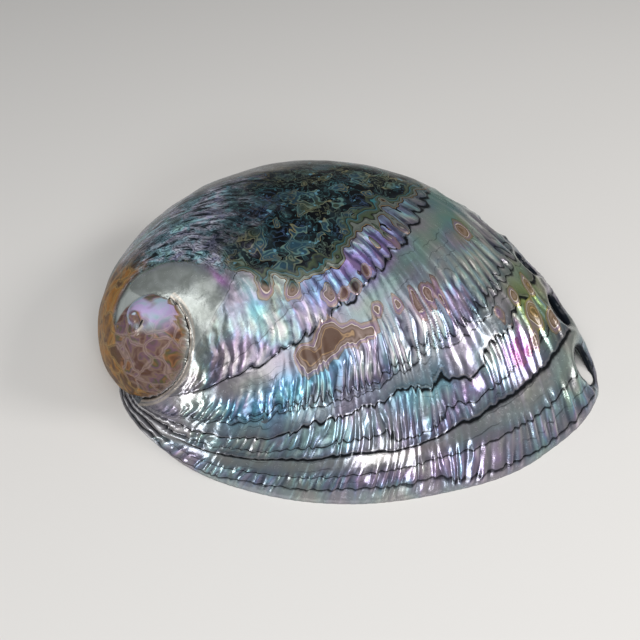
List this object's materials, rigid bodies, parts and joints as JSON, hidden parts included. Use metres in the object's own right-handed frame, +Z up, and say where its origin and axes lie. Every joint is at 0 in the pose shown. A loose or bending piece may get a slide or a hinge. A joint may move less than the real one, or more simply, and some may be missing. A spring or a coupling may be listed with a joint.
{
  "type": "abalone shell",
  "caption": "Polished ear-shaped abalone shell: a shallow bowl of nacre with a low spire, a row of breathing holes and a flat inner lip, resting on its rim.",
  "frame": {"origin": "middle of the shell's box on the surface it rests on", "axes": "+X along the shell from the spire to the newest end of the lip; +Y towards the row of breathing holes; +Z up, out of the back of the shell"},
  "size_m": [0.1438, 0.105, 0.0421],
  "materials": {
    "nacre": "high-polish iridescent mother of pearl, grey-olive with teal, violet and pink"
  },
  "bodies": {
    "root": {"shell": "nacre"}
  },
  "joints": []
}
